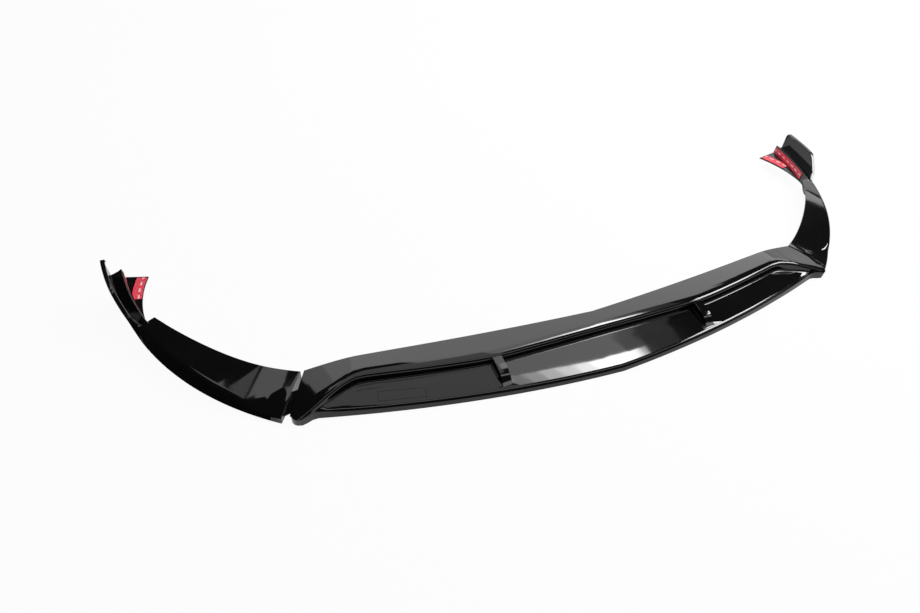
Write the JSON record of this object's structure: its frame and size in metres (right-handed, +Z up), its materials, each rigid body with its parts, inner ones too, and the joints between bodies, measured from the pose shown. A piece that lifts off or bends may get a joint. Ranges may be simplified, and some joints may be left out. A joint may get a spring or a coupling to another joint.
{
  "type": "front splitter lip",
  "caption": "Gloss black front splitter lip for a car bumper: stepped centre blade, corner lips with upswept side fins, lapped joints and taped mounting faces.",
  "frame": {"origin": "middle of the front edge at the nose, on the plane of the lower edge", "axes": "+X across the car, +Y rearwards, +Z up from the lower edge"},
  "size_m": [1.8091, 0.5467, 0.094],
  "materials": {
    "gloss_black": "gloss",
    "foam_tape": "matte foam",
    "red_liner": "satin film"
  },
  "bodies": {
    "root": {"centre_lip": "gloss_black", "corner_lip_right": "gloss_black", "corner_lip_left": "gloss_black", "upright_tape_right": "foam_tape", "upright_liner_right": "red_liner", "flange_tape_right": "foam_tape", "flange_liner_right": "red_liner", "upright_tape_left": "foam_tape", "upright_liner_left": "red_liner", "flange_tape_left": "foam_tape", "flange_liner_left": "red_liner"}
  },
  "joints": []
}
